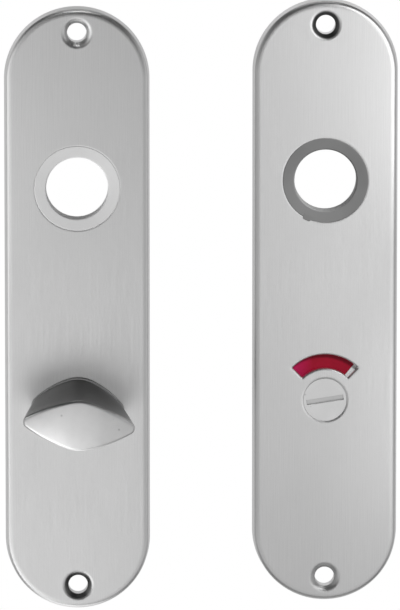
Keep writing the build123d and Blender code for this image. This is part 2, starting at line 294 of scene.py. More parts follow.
def satin_aluminium():
    finish = Finish("satin_aluminium", 1.0, 0.34)
    bloom = finish.noise(5200.0)
    cloud = finish.noise(120.0, 3.0, 0.55)
    cells = step(finish.tree, "ShaderNodeTexVoronoi", {"Vector": finish.where, "Scale": 620.0}, out=None)
    pit = finish.between(cells["Distance"], 1.0, 0.0, 0.10, 0.26)
    chosen = step(finish.tree, "ShaderNodeSeparateColor", {0: cells["Color"]})
    pit = finish.times(pit, finish.between(chosen, 0.0, 1.0, 0.90, 0.93))
    tone = finish.blend(finish.between(cloud), grey(0.72), grey(0.84))
    tone = finish.blend(pit, tone, grey(0.55))
    depth = split(finish.tree, finish.where)["Y"]
    # Painted shade: the slot's floor, below the plate's face, is darkened in the colour.
    recess_shade = finish.between(depth, 0.0, 0.4, *slot_shade_depth)
    tone = finish.blend(recess_shade, tone, grey(0.40))
    # Painted shade: the grip's flanks behind its face are darkened towards near black in the colour.
    flank = finish.between(depth, 0.0, 0.4, *flank_shade_front)
    flank = finish.times(flank, finish.between(depth, 1.0, 0.0, *flank_shade_back))
    tone = finish.blend(flank, tone, grey(0.10))
    rough = finish.between(cloud, 0.28, 0.40)
    skin = finish.bump(bloom, 0.25, 0.00001)
    skin = finish.bump(pit, -0.3, 0.00006, skin)
    return finish.wire(base_color=tone, roughness=rough, normal=skin)


finished("satin_aluminium", satin_aluminium())

# %% [markdown]
# ### Moulded plastics
# The rings in the lever holes are moulded in grey, the disc behind the window in white with a crimson arc,
# and the hidden bearing and glide washer in undyed nylon. Moulded plastic has a fine dull skin and a
# slightly uneven colour, and nylon lets a little light into itself.

# %% Plastics
def moulded(name, dark, light, roughness, skin_scale, skin_depth, **constants):
    finish = Finish(name, 0.0, roughness, **constants)
    skin = finish.noise(skin_scale)
    cloud = finish.noise(90.0, 2.0, 0.5)
    tone = finish.blend(finish.between(cloud), dark, light)
    rough = finish.between(skin, roughness - 0.06, roughness + 0.06)
    return finish.wire(base_color=tone, roughness=rough, normal=finish.bump(skin, 0.3, skin_depth))


def crimson(lit_start=-0.0085, lit_end=-0.0035):
    """The indicator's red, with painted light: brighter and purpler towards one end."""
    finish = Finish("red_plastic", 0.0, 0.46, specular_ior_level=0.2)
    cloud = finish.noise(160.0)
    across = split(finish.tree, finish.where)["X"]
    # Painted light and reflection: the left end is made brighter and purpler in the colour.
    lit_left_end = finish.between(across, 1.0, 0.0, coin_axis.x + lit_start, coin_axis.x + lit_end)
    tone = finish.blend(finish.between(cloud), (0.31, 0.003, 0.020, 1), (0.42, 0.005, 0.032, 1))
    tone = finish.blend(lit_left_end, tone, (0.46, 0.008, 0.085, 1))
    return finish.wire(base_color=tone, normal=finish.bump(finish.noise(3000.0), 0.3, 0.00001))


nylon = (0.74, 0.71, 0.62, 1), (0.84, 0.81, 0.73, 1), 0.45, 1900.0, 0.00002
plastics = {
    "light_grey_plastic": (grey(0.74), grey(0.80), 0.50, 2600.0, 0.00002),
    "dark_grey_plastic": (grey(0.25), grey(0.30), 0.48, 2600.0, 0.00002),
    "white_plastic": (grey(0.72), grey(0.78), 0.40, 3000.0, 0.00001),
}
for name, look in plastics.items():
    finished(name, moulded(name, *look))
finished("natural_nylon", moulded("natural_nylon", *nylon, subsurface_weight=0.15))
finished("red_plastic", crimson())

# %% [markdown]
# ### Steels
# Small steel parts sit behind the plates. Spring steel is blued and oiled, the set screw is black, and the
# spindle, keeper and thrust washer are zinc plated, which dries in faint yellowish and bluish clouds. The
# rivets are bare aluminium wire.

# %% Steels
def plated(name, dark, light, roughness, cloud_scale, scratch=(2600, 2600, 500)):
    finish = Finish(name, 1.0, roughness)
    cloud = finish.noise(cloud_scale)
    scratches = finish.noise(1.0, where=finish.stretched(scratch))
    tone = finish.blend(finish.between(cloud), dark, light)
    rough = finish.between(cloud, roughness - 0.07, roughness + 0.08)
    return finish.wire(base_color=tone, roughness=rough, normal=finish.bump(scratches, 0.25, 0.00001))


metals = {
    "rivet_aluminium": (grey(0.55), grey(0.74), 0.42, 900.0),
    "spring_steel": ((0.15, 0.16, 0.19, 1), (0.28, 0.28, 0.30, 1), 0.34, 420.0),
    "black_steel": (grey(0.03), grey(0.07), 0.42, 800.0),
    "zinc_steel": ((0.55, 0.57, 0.62, 1), (0.70, 0.69, 0.64, 1), 0.32, 260.0),
}
for name, look in metals.items():
    finished(name, plated(name, *look))

# %% The finishes on the model's own nodes
slots = {part["node"]: part["material_slot"] for part in frame["record"]["subparts"]}
for name, node in nodes.items():
    for material_slot in node.material_slots:
        material_slot.material = finishes[slots[name]]
print("finishes:", len(finishes), "on", len(slots), "nodes")

# %% [markdown]
# ## Shapes from a section and a path
# Most of this object is either turned, such as the rings and washers, or pressed, such as the plates with
# their round edges. Both kinds are one rule: a section is carried round a path. Spin or a Screw modifier
# would do it for a circle only, so here Geometry Nodes do it for a circle, for a long shape with half-round
# ends, and for a bent window. Every corner of the section carries its own rounding, as on a drawing.

# %% Making trees with named inputs, and turning their result into plain meshes
def recipe(name, **inputs):
    """A Geometry Nodes tree with named inputs and one geometry; a value's type picks the input's type."""
    kinds = {float: "Float", int: "Int", tuple: "Vector", type(None): "Material"}
    tree = bpy.data.node_groups.new(name, "GeometryNodeTree")
    tree.interface.new_socket("Geometry", in_out="INPUT", socket_type="NodeSocketGeometry")
    for label, value in inputs.items():
        kind = "NodeSocket" + kinds[type(value)]
        socket = tree.interface.new_socket(label, in_out="INPUT", socket_type=kind)
        if value is not None:
            socket.default_value = value
    tree.interface.new_socket("Geometry", in_out="OUTPUT", socket_type="NodeSocketGeometry")
    return tree, tree.nodes.new("NodeGroupInput").outputs


def serve(tree, geometry, material):
    """The end of every tree: real geometry with its material."""
    real = step(tree, "GeometryNodeRealizeInstances", {"Geometry": geometry})
    done = step(tree, "GeometryNodeSetMaterial", {"Geometry": real, "Material": material})
    tree.links.new(done, tree.nodes.new("NodeGroupOutput").inputs[0])
    return tree


def inputs_of(tree):
    """The names of a tree's inputs, with their identifiers."""
    return {item.name: item.identifier for item in tree.interface.items_tree if item.in_out == "INPUT"}


def evaluated(item, *helpers):
    """The plain mesh that an object's modifiers give; the object and its helpers are removed."""
    bpy.context.view_layer.update()
    result = bpy.data.meshes.new_from_object(item.evaluated_get(bpy.context.evaluated_depsgraph_get()))
    for used in (*helpers, item):
        bpy.data.objects.remove(used)
    return result


def cook(tree, start_mesh, **values):
    """Runs a tree on a mesh with the given values."""
    holder = hang("holder", start_mesh)
    modifier = holder.modifiers.new("recipe", "NODES")
    modifier.node_group = tree
    identifiers = inputs_of(tree)
    for label, value in values.items():
        modifier[identifiers[label]] = value
    return evaluated(holder)


print("tree kit ready")

# %% A section drawn as a mesh, and the tree that carries it round a circle or a long round-ended path
def section_mesh(corners, path_radius, closed=False):
    """A line in the section's plane; each corner is its radius, height and rounding in millimetres."""
    points = [((radius - path_radius) * MM, -height * MM, 0.0) for radius, height, _ in corners]
    edges = [(i, i + 1) for i in range(len(points) - 1)]
    if closed:
        edges.append((len(points) - 1, 0))
    mesh = bpy.data.meshes.new("section")
    mesh.from_pydata(points, edges, [])
    rounding = mesh.attributes.new("rounding", "FLOAT", "POINT")
    for item, (_, _, value) in zip(rounding.data, corners):
        item.value = value * MM
    return mesh


def position(tree):
    """The coordinates of each point of the geometry."""
    return split(tree, step(tree, "GeometryNodeInputPosition"))


def sweep_recipe():
    tree, given = recipe(
        "section round a path", Radius=0.01, Stretch=0.0, Steps=96, Spot=(0.0, 0.0, 0.0), Corner_Steps=5,
        Material=None,
    )
    fill = {"Resolution": given["Steps"], "Radius": given["Radius"]}
    path = step(tree, "GeometryNodeCurvePrimitiveCircle", fill)
    turn = combine(tree, Z=calc(tree, "DIVIDE", pi, given["Steps"]))
    path = step(tree, "GeometryNodeTransform", {"Geometry": path, "Rotation": turn})
    side = calc(tree, "SIGN", position(tree)["Y"])
    offset = combine(tree, Y=calc(tree, "MULTIPLY", side, given["Stretch"]))
    path = step(tree, "GeometryNodeSetPosition", {"Geometry": path, "Offset": offset})
    return placed_sweep(tree, given, path)


def sweep_end(tree, given, path):
    """Rounds the section's corners, carries it along the path and closes what meets in a point."""
    profile = step(tree, "GeometryNodeMeshToCurve", {"Mesh": given["Geometry"]})
    rounding = step(tree, "GeometryNodeInputNamedAttribute", {"Name": "rounding"}, data_type="FLOAT")
    fill = {"Curve": profile, "Count": given["Corner_Steps"], "Radius": rounding, "Limit Radius": True}
    profile = step(tree, "GeometryNodeFilletCurve", fill, mode="POLY")
    swept = step(tree, "GeometryNodeCurveToMesh", {"Curve": path, "Profile Curve": profile})
    return step(tree, "GeometryNodeMergeByDistance", {"Geometry": swept, "Distance": 0.000002})


def placed_sweep(tree, given, path):
    """The end of both sweeps: the swept section, moved to its spot."""
    swept = sweep_end(tree, given, path)
    placed = step(tree, "GeometryNodeTransform", {"Geometry": swept, "Translation": given["Spot"]})
    return serve(tree, placed, given["Material"])


sweep = sweep_recipe()
print("inputs of the sweep:", *inputs_of(sweep))

# %% The tree for the window: a rectangle with small corners, bent round the release
def polar(tree, reach, angle):
    """The two coordinates of a point that is given by its distance and its angle."""
    return [calc(tree, "MULTIPLY", reach, calc(tree, kind, angle)) for kind in ("COSINE", "SINE")]


def bent_recipe():
    tree, given = recipe(
        "section round a bent window", Middle=0.011, Length=0.018, Breadth=0.004, Corner=0.00025, Steps=14,
        Spot=(0.0, 0.0, 0.0), Corner_Steps=5, Material=None,
    )
    fill = {"Width": given["Length"], "Height": given["Breadth"]}
    path = step(tree, "GeometryNodeCurvePrimitiveQuadrilateral", fill)
    fill = {"Curve": path, "Count": 3, "Radius": given["Corner"]}
    path = step(tree, "GeometryNodeFilletCurve", fill, mode="POLY")
    path = step(tree, "GeometryNodeSubdivideCurve", {"Curve": path, "Cuts": given["Steps"]})
    flat = position(tree)
    angle = calc(tree, "DIVIDE", flat["X"], given["Middle"])
    reach = calc(tree, "ADD", flat["Y"], given["Middle"])
    up, across = polar(tree, reach, angle)
    bent = combine(tree, X=across, Y=up)
    path = step(tree, "GeometryNodeSetPosition", {"Geometry": path, "Position": bent})
    return placed_sweep(tree, given, path)


bend = bent_recipe()
print("inputs of the bend:", *inputs_of(bend))

# %% Standing a flat-made shape up against the door
def built(name, builder):
    """The mesh that a builder holds."""
    mesh = bpy.data.meshes.new(name)
    builder.to_mesh(mesh)
    builder.free()
    return mesh


def joined(meshes):
    """Several meshes as one."""
    builder = bmesh.new()
    for mesh in meshes:
        builder.from_mesh(mesh)
    return built("joined", builder)


def stand(mesh, spot):
    """Turns a shape that was made lying down to face the room, and moves it to its place."""
    mesh.transform(Matrix.Translation(spot) @ Matrix.Rotation(pi / 2, 4, "X"))
    return mesh


def piece(name, mesh, body, replaced, slot_name, corner_angle=32.0):
    """Finishes a mesh: closed, facing out, smooth but for its sharp corners, and known to the frame."""
    builder = bmesh.new()
    builder.from_mesh(mesh)
    bmesh.ops.remove_doubles(builder, verts=builder.verts, dist=0.000001)
    bmesh.ops.recalc_face_normals(builder, faces=builder.faces)
    open_edges = sum(1 for edge in builder.edges if len(edge.link_faces) != 2)
    builder.to_mesh(mesh)
    builder.free()
    mesh.name = name
    mesh.materials.clear()
    mesh.materials.append(finishes[slot_name])
    item = hang(name, mesh)
    mesh.shade_smooth()
    mesh.set_sharp_from_angle(angle=radians(corner_angle))
    shading = item.modifiers.new("even shading", "WEIGHTED_NORMAL")
    shading.keep_sharp = True
    shading.weight = 80
    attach(item, body)
    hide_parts(*replaced)
    print(f"{name}: {len(mesh.polygons)} faces, {open_edges} open edges")


print("mesh kit ready")

# %% [markdown]
# ## The plates
# Each plate is pressed from 1.5 mm aluminium: drafted sides, a soft rim, and holes whose edges are drawn in
# by the tool. A flat block with boolean holes would have dead sharp edges, and those edges are the only
# lines that light draws on a satin plate. So every edge is swept with its own rounding, and a second tree
# closes the flat faces: it finds the open loops at a height and fills between them, so that the holes stay
# holes.

# %% The tree that closes a sheet between its edges
def sheet_recipe():
    tree, given = recipe("sheet from its edges", Face_Height=0.005, Back_Height=0.0035, Material=None)
    lonely = step(tree, "GeometryNodeInputMeshEdgeNeighbors", out="Face Count")
    lonely = step(tree, "FunctionNodeCompare", {2: lonely, 3: 1}, data_type="INT", operation="EQUAL")
    height = position(tree)["Z"]
    parts = [given["Geometry"]]
    for label in ("Face_Height", "Back_Height"):
        fill = {"A": height, "B": given[label], "Epsilon": 0.00001}
        level = step(tree, "FunctionNodeCompare", fill, data_type="FLOAT", operation="EQUAL")
        both = step(tree, "FunctionNodeBooleanMath", {0: lonely, 1: level}, operation="AND")
        loops = step(tree, "GeometryNodeMeshToCurve", {"Mesh": given["Geometry"], "Selection": both})
        filled = step(tree, "GeometryNodeFillCurve", {"Curve": loops}, mode="TRIANGLES")
        lift = combine(tree, Z=given[label])
        parts.append(step(tree, "GeometryNodeTransform", {"Geometry": filled, "Translation": lift}))
    whole = step(tree, "GeometryNodeJoinGeometry", {"Geometry": parts})
    whole = step(tree, "GeometryNodeMergeByDistance", {"Geometry": whole, "Distance": 0.000003})
    return serve(tree, whole, given["Material"])


sheet_tree = sheet_recipe()
print("inputs of the sheet:", *inputs_of(sheet_tree))

# %% Sizes that both plates have
rim_rounding = 1.3
fall, fall_width = 0.2, 1.5
screw_radius, screw_boss, countersink = 2.75, 4.75, 1.15
cup = {"ring": 12.05, "barrel": 10.55, "wall": 13.4, "seat": plate_depth - 1.2, "back": plate_depth - 2.4}
end_reach = plate_length / 2 - plate_width / 2
print(f"the plate's straight sides are {2 * end_reach:.1f} mm long")

# %% The edges that both plates have
def edge(corners, radius, place=(0.0, 0.0), stretch=0.0, steps=96, corner_steps=5):
    """One swept edge of a plate, in the plate's own lying frame: across, along and height."""
    sizes = {"Radius": radius * MM, "Stretch": stretch * MM, "Spot": (place[0] * MM, place[1] * MM, 0.0)}
    return cook(sweep, section_mesh(corners, radius), Steps=steps, Corner_Steps=corner_steps, **sizes)


def outer_rim():
    """The face falls away a little before the rim, then the rim, the drafted side and the hollow's wall."""
    half = plate_width / 2
    top = half - draft
    return edge(
        [
            (top - fall_width - 0.35, plate_depth, 0), (top - fall_width, plate_depth, 5.0),
            (top, plate_depth - fall, rim_rounding), (half, 0, 0.12),
            (half - sheet, 0, 0.12), (half - sheet - draft, sheet_back, 0),
        ],
        half, (0, plate_middle), end_reach, steps=192, corner_steps=8,
    )


def screw_edge(along):
    return edge(
        [
            (screw_boss, sheet_back, 0), (screw_boss, 0, 0.1), (screw_radius, 0, 0.1),
            (screw_radius, plate_depth - countersink, 0.15), (screw_radius + countersink, plate_depth, 1.6),
            (screw_radius + countersink + 0.72, plate_depth, 0),
        ],
        screw_radius, (0, along), steps=64, corner_steps=7,
    )


def bush_cup():
    return edge(
        [
            (cup["wall"], sheet_back, 0), (cup["wall"], cup["back"], 0.15), (cup["barrel"], cup["back"], 0.1),
            (cup["barrel"], cup["seat"], 0.1), (cup["ring"], cup["seat"], 0.05),
            (cup["ring"], plate_depth, 0.12), (cup["ring"] + 0.5, plate_depth, 0),
        ],
        cup["ring"], corner_steps=3,
    )


def shared_edges():
    return [outer_rim(), bush_cup()] + [screw_edge(along) for along in screw_places]


print("edges that both plates have:", len(shared_edges()))

# %% The inside plate
def pressed_plate(name, edges, spot):
    """Closes the sheet between its edges and stands the plate up."""
    mesh = cook(sheet_tree, joined(edges), Face_Height=plate_depth * MM, Back_Height=sheet_back * MM)
    piece(name, stand(mesh, spot), "root", [name.replace("_skin", "")], "brushed_aluminium")


bearing_hole, hole_rounding = 8.1, 0.2
corners = [
    (bearing_hole, sheet_back, 0), (bearing_hole, plate_depth, hole_rounding),
    (bearing_hole + 2 * hole_rounding, plate_depth, 0),
]
bearing_edge = edge(corners, bearing_hole, (0, lock_drop))
pressed_plate("inside_plate_skin", shared_edges() + [bearing_edge], inside_lever)

# %% The outside plate, with the window, the release's hole and two bosses behind
release_hole, dish_width = 6.17, 0.5
window_inner, window_outer, window_angle = 9.05, 13.05, radians(90)
window_middle = (window_inner + window_outer) / 2
window_rounding = 0.55
boss_radius, boss_reach, boss_places = 2.4, 1.1, (lock_drop - 17.6, lock_drop + 17.6)
rivet_hole, rivet_hole_end = 1.05, 3.3


def window_edge():
    corners = [(0, sheet_back, 0), (0, plate_depth, window_rounding), (2 * window_rounding, plate_depth, 0)]
    return cook(
        bend, section_mesh(corners, 0), Middle=window_middle * MM, Length=window_middle * window_angle * MM,
        Breadth=(window_outer - window_inner) * MM, Spot=(0.0, lock_drop * MM, 0.0), Corner_Steps=6,
    )


def release_edge():
    """The hole for the release: a shallow dish whose bottom is level with the release's face."""
    corners = [
        (release_hole, sheet_back, 0), (release_hole, plate_depth - 0.12, 0.04),
        (release_hole + dish_width, plate_depth, 0.9), (release_hole + dish_width + 0.4, plate_depth, 0),
    ]
    return edge(corners, release_hole, (0, lock_drop), corner_steps=6)


def keeper_boss(along):
    corners = [
        (boss_radius, sheet_back, 0), (boss_radius, boss_reach, 0.15), (rivet_hole, boss_reach, 0.05),
        (rivet_hole, rivet_hole_end, 0), (0, rivet_hole_end, 0),
    ]
    return edge(corners, boss_radius, (0, along), steps=32, corner_steps=2)


outside_edges = shared_edges() + [release_edge(), window_edge()]
outside_edges += [keeper_boss(along) for along in boss_places]
pressed_plate("outside_plate_skin", outside_edges, outside_lever)

# %% [markdown]
# ## The rings in the lever holes
# A lever turns in a plastic bush that is pushed into the plate from the front. What is seen of it is a
# ring, almost flush with the plate and with a soft lip, so that no dark gap shows round it. The bush is one
# closed section, swept round. The darker one of the outside plate has a small nib that keys it, a pad at
# the ring's edge.

# %% The bushes
lever_bore, barrel, ring_edge = 8.75, 10.5, 12.12
ring_back, ring_height = plate_depth - 1.15, plate_depth + 0.08
ring_dish, bore_lip = 0.28, 0.3


def bush_mesh():
    lip = ring_height - ring_dish
    corners = [
        (barrel, 0, 0.1), (lever_bore, 0, 0.2), (lever_bore, lip - bore_lip, 0.3),
        (lever_bore + bore_lip, lip, 0.3), (ring_edge, ring_height, 0.22),
        (ring_edge, ring_back, 0.1), (barrel, ring_back, 0.05),
    ]
    section = section_mesh(corners, barrel, closed=True)
    return cook(sweep, section, Radius=barrel * MM, Steps=128, Corner_Steps=4)


def nib_mesh():
    """The key at the ring's edge: a pad with round corners, turned a little past the lower left."""
    width, reach, corner, angle = 2.4, 12.6, 0.5, radians(154)
    side, shoulder = -width / 2, reach - corner
    builder = bmesh.new()
    outline = [(side, ring_edge - 1.2), (side, shoulder)]
    for i in range(1, 5):
        bend_angle = pi / 8 * i
        outline.append((side + corner - corner * cos(bend_angle), shoulder + corner * sin(bend_angle)))
    outline += [(-x, y) for x, y in reversed(outline)]
    levels = [(plate_depth - 1.0, 0.0)]
    levels += [(ring_height - down, inset) for down, inset in ((0.12, 0.0), (0.03, 0.03), (0.0, 0.12))]
    rings = []
    for height, inset in levels:
        shrunk = [(x * (1 - 2 * inset / width), min(y, reach - inset)) for x, y in outline]
        turned = [(x * cos(angle) - y * sin(angle), x * sin(angle) + y * cos(angle)) for x, y in shrunk]
        rings.append([builder.verts.new((x * MM, y * MM, height * MM)) for x, y in turned])
    bridge_rings(builder, rings)
    builder.faces.new(list(reversed(rings[0])))
    builder.faces.new(rings[-1])
    return built("nib", builder)


def bridge_rings(builder, rings):
    """Quads between neighbouring rings that have the same number of points."""
    for lower, upper in zip(rings, rings[1:]):
        for i in range(len(lower)):
            j = (i + 1) % len(lower)
            builder.faces.new((lower[i], lower[j], upper[j], upper[i]))


inside_ring = stand(bush_mesh(), inside_lever)
piece("inside_bush_ring", inside_ring, "root", ["inside_lever_bush"], "light_grey_plastic")
outside_ring = stand(joined([bush_mesh(), nib_mesh()]), outside_lever)
piece("outside_bush_ring", outside_ring, "root", ["outside_lever_bush"], "dark_grey_plastic")

# %% [markdown]
# ## Push-on washers behind the bushes
# A ring of spring steel with ten teeth holds each bush from behind. The teeth all bend the same way out of
# the sheet. That is the textbook case for instances: one tooth is made once, put on the points of a circle
# and turned to face its middle. A real file has no instances, so the tree makes them real at its end.

# %% The tree for the toothed washer
def toothed_recipe():
    tree, given = recipe(
        "toothed washer", Teeth=10, Hole=0.0105, Rim=0.0118, Outer=0.0132, Sheet=0.0006, Gap=0.0012,
        Lift=0.0004, Material=None,
    )
    profile = step(tree, "GeometryNodeMeshToCurve", {"Mesh": given["Geometry"]})
    path = step(tree, "GeometryNodeCurvePrimitiveCircle", {"Resolution": 120, "Radius": given["Outer"]})
    rim = step(tree, "GeometryNodeCurveToMesh", {"Curve": path, "Profile Curve": profile})
    share = calc(tree, "DIVIDE", 2 * pi, given["Teeth"])
    room_for_one = calc(tree, "MULTIPLY", share, given["Hole"])
    width = calc(tree, "SUBTRACT", room_for_one, given["Gap"])
    length = calc(tree, "SUBTRACT", given["Rim"], given["Hole"])
    size = combine(tree, X=length, Y=width, Z=given["Sheet"])
    fill = {"Size": size, "Vertices X": 5, "Vertices Y": 7, "Vertices Z": 2}
    tooth = step(tree, "GeometryNodeMeshCube", fill)
    place = position(tree)
    inward = calc(tree, "SUBTRACT", 0.5, calc(tree, "DIVIDE", place["X"], length))
    rise = calc(tree, "MULTIPLY", inward, given["Lift"])
    middle = calc(tree, "MULTIPLY", calc(tree, "ADD", given["Rim"], given["Hole"]), 0.5)
    reach = calc(tree, "ADD", middle, place["X"])
    angle = calc(tree, "DIVIDE", place["Y"], middle)
    along, aside = polar(tree, reach, angle)
    lifted = calc(tree, "SUBTRACT", place["Z"], rise)
    bent = combine(tree, X=along, Y=aside, Z=lifted)
    tooth = step(tree, "GeometryNodeSetPosition", {"Geometry": tooth, "Position": bent})
    points = step(tree, "GeometryNodePoints", {"Count": given["Teeth"]})
    turn = combine(tree, Z=calc(tree, "MULTIPLY", step(tree, "GeometryNodeInputIndex"), share))
    fill = {"Points": points, "Instance": tooth, "Rotation": turn}
    teeth = step(tree, "GeometryNodeInstanceOnPoints", fill)
    both = step(tree, "GeometryNodeJoinGeometry", {"Geometry": [rim, teeth]})
    return serve(tree, both, given["Material"])


toothed = toothed_recipe()
print("inputs of the washer:", *inputs_of(toothed))

# %% Both washers
washer_sheet, washer_outer, washer_rim = 0.6, 13.2, 11.8


def toothed_washer(name, replaced, spot):
    half = washer_sheet / 2
    inner = washer_rim - 0.05
    rim = [(washer_outer, half, 0), (washer_outer, -half, 0), (inner, -half, 0), (inner, half, 0)]
    section = section_mesh(rim, washer_outer, closed=True)
    sizes = {"Sheet": washer_sheet * MM, "Rim": washer_rim * MM, "Outer": washer_outer * MM}
    mesh = cook(toothed, section, **sizes)
    lift = Vector((0, -(cup["back"] - half) * MM, 0))
    piece(name, stand(mesh, spot + lift), "root", [replaced], "spring_steel")


toothed_washer("inside_toothed_washer", "inside_bush_retainer", inside_lever)
toothed_washer("outside_toothed_washer", "outside_bush_retainer", outside_lever)

# %% [markdown]
# ## Rivets
# Two rivets clamp the keeper strip to bosses behind the outside plate. Both have the same set head, so one
# section is swept once and the result is placed at two points.

# %% The pair of rivets
rivet_radius, head_radius = 1.0, 1.9
keeper_back, rivet_top = 0.5, 3.28
head_back, dimple_back = keeper_back - 0.35, keeper_back - 0.25


def rivet_recipe():
    tree, given = recipe(
        "rivets at points", Radius=rivet_radius * MM, First=(0.0, 0.0, 0.0), Second=(0.0, 0.0, 0.0),
        Steps=40, Corner_Steps=4, Material=None,
    )
    fill = {"Resolution": given["Steps"], "Radius": given["Radius"]}
    path = step(tree, "GeometryNodeCurvePrimitiveCircle", fill)
    one = sweep_end(tree, given, path)
    fill = {"Count": 2, "Start Location": given["First"], "Offset": given["Second"]}
    spots = step(tree, "GeometryNodeMeshLine", fill, mode="END_POINTS")
    pair = step(tree, "GeometryNodeInstanceOnPoints", {"Points": spots, "Instance": one})
    return serve(tree, pair, given["Material"])


rivet_corners = [
    (0, rivet_top, 0), (rivet_radius, rivet_top, 0.1), (rivet_radius, keeper_back, 0),
    (head_radius, keeper_back, 0.1), (head_radius - 0.15, head_back, 0.25), (0.5, head_back, 0.1),
    (0.42, dimple_back, 0.1), (0, dimple_back, 0),
]
first, second = [(0, along * MM, 0) for along in boss_places]
rivets = cook(rivet_recipe(), section_mesh(rivet_corners, rivet_radius), First=first, Second=second)
piece("rivet_pair", stand(rivets, outside_lever), "root", ["keeper_rivets"], "rivet_aluminium")

# %% [markdown]
# ## The thumbturn
# The grip is a leaf: two wide corners, four flanks and two tips, all tangent arcs. It is wide and short at
# the plate, slim in the middle, and long at the crowned face. Box modelling with subdivision would blur
# those arcs, so the outline is worked out at three heights, and a smooth curve through the three gives it
# at every height in between. The whole thumbturn, from the square socket in its shank out to the face, is
# then one stack of rings.

# %% The leaf outline from its arcs
def leaf(length, width, apex, flank, tip, points=(10, 24, 10)):
    """Points round the leaf, counterclockwise from its right tip; tip, flank and apex are the arcs' radii."""
    corner = Vector((0, width / 2 - apex))
    end = Vector((length / 2 - tip, 0))
    reach = end - corner
    along = ((flank - apex) ** 2 - (flank - tip) ** 2 + reach.length**2) / (2 * reach.length)
    aside = sqrt((flank - apex) ** 2 - along**2)
    forward = reach.normalized()
    centre = corner + forward * along + Vector((forward.y, -forward.x)) * aside
    high_point = corner + (corner - centre).normalized() * apex
    low_point = end + (end - centre).normalized() * tip
    arcs = [
        (end, tip, Vector((length / 2, 0)), low_point, points[0]),
        (centre, flank, low_point, high_point, points[1]),
        (corner, apex, high_point, Vector((0, width / 2)), points[2]),
    ]
    quarter = []
    for middle, radius, first, last, count in arcs:
        start = atan2(first.y - middle.y, first.x - middle.x)
        span = atan2(last.y - middle.y, last.x - middle.x) - start
        angles = [start + span * i / count for i in range(count)]
        quarter += [(middle.x + radius * cos(a), middle.y + radius * sin(a)) for a in angles]
    half = quarter + [(0.0, width / 2)] + [(-x, y) for x, y in reversed(quarter[1:])]
    return half + [(-x, -y) for x, y in half]


def moved_in(outline, distance):
    """The outline moved inwards, or outwards where the distance is below zero."""
    moved = []
    for i, (x, y) in enumerate(outline):
        before, after = outline[i - 1], outline[(i + 1) % len(outline)]
        dx, dy = after[0] - before[0], after[1] - before[1]
        size = hypot(dx, dy)
        moved.append((x - distance * dy / size, y + distance * dx / size))
    return moved


foot_leaf = leaf(25.8, 17.3, 9.0, 24.0, 3.0)
waist_leaf = leaf(28.8, 13.4, 9.0, 45.0, 2.2)
face_leaf = leaf(31.9, 14.6, 10.0, 46.0, 2.0)
print("points round the leaf:", len(face_leaf))

# %% The leaf at any height, and the crowned face
knob_bottom, knob_waist, knob_top = 5.3, 17.5, 32.0
foot_top = knob_bottom + 0.9
crown_radius, face_edge = 70.0, 0.7


def leaf_point(i, height):
    """The outline's point at a height, on the smooth curve through the three leaves."""
    leaves = {knob_bottom: foot_leaf, knob_waist: waist_leaf, knob_top: face_leaf}
    x = y = 0.0
    for own, outline in leaves.items():
        share = prod((height - other) / (own - other) for other in leaves if other != own)
        x += share * outline[i][0]
        y += share * outline[i][1]
    return x, y


def crown(x, y):
    """Height of the face, which is part of a large ball."""
    return knob_top - crown_radius + sqrt(crown_radius**2 - x * x - y * y)


print(f"the face falls {knob_top - crown(*face_leaf[0]):.1f} mm from its middle to its tips")

# %% Rings of the shank, the foot, the sides and the face
around = len(face_leaf)
socket_half, socket_depth = 4.05, 17.0
ring_angles = [2 * pi * i / around for i in range(around)]


def round_ring(radius, height):
    return [(radius * cos(a), radius * sin(a), height) for a in ring_angles]


def square_ring(half_side, height):
    reach = [half_side / max(abs(cos(a)), abs(sin(a))) for a in ring_angles]
    return [(r * cos(a), r * sin(a), height) for r, a in zip(reach, ring_angles)]


def flat_ring(outline, height):
    return [(x, y, height) for x, y in outline]


def shank_rings():
    """Square socket, then the shank with the groove for its retaining ring."""
    sizes = [(6.85, 0.1), (7.0, 0.25), (7.0, 0.8), (6.3, 0.8), (6.3, 1.5), (7.0, 1.5), (7.0, knob_bottom)]
    socket = [square_ring(socket_half, height) for height in (socket_depth, 0.1)]
    return socket + [round_ring(*size) for size in sizes]


def foot_rings():
    """The low rim round the grip's foot, just clear of the plate."""
    sizes = [(0.2, 0.0), (0.35, 0.15), (0.35, 0.72), (0.3, 0.84), (0.18, foot_top - knob_bottom)]
    return [flat_ring(moved_in(foot_leaf, -out), knob_bottom + up) for out, up in sizes]


def side_rings(levels=30):
    """From the foot up to where the face's edge begins to round."""
    rings = []
    for level in range(levels + 1):
        ring = []
        for i in range(around):
            end = crown(*face_leaf[i]) - face_edge
            height = foot_top + (end - foot_top) * level / levels
            ring.append((*leaf_point(i, height), height))
        rings.append(ring)
    return rings


def face_rings(edge_steps=7, face_steps=16):
    """The rounded edge, and then the crowned face in ever smaller leaves."""
    outline = [leaf_point(i, crown(*face_leaf[i])) for i in range(around)]
    rings = []
    for level in range(1, edge_steps + 1):
        angle = pi / 2 * level / edge_steps
        inner = moved_in(outline, face_edge * (1 - cos(angle)))
        rings.append([(x, y, crown(x, y) - face_edge * (1 - sin(angle))) for x, y in inner])
    last = [(x, y) for x, y, _ in rings[-1]]
    for level in range(1, face_steps):
        size = 1 - level / face_steps
        rings.append([(x * size, y * size, crown(x * size, y * size)) for x, y in last])
    return rings


knob_rings = shank_rings() + foot_rings() + side_rings() + face_rings()
print("rings of the thumbturn:", len(knob_rings))

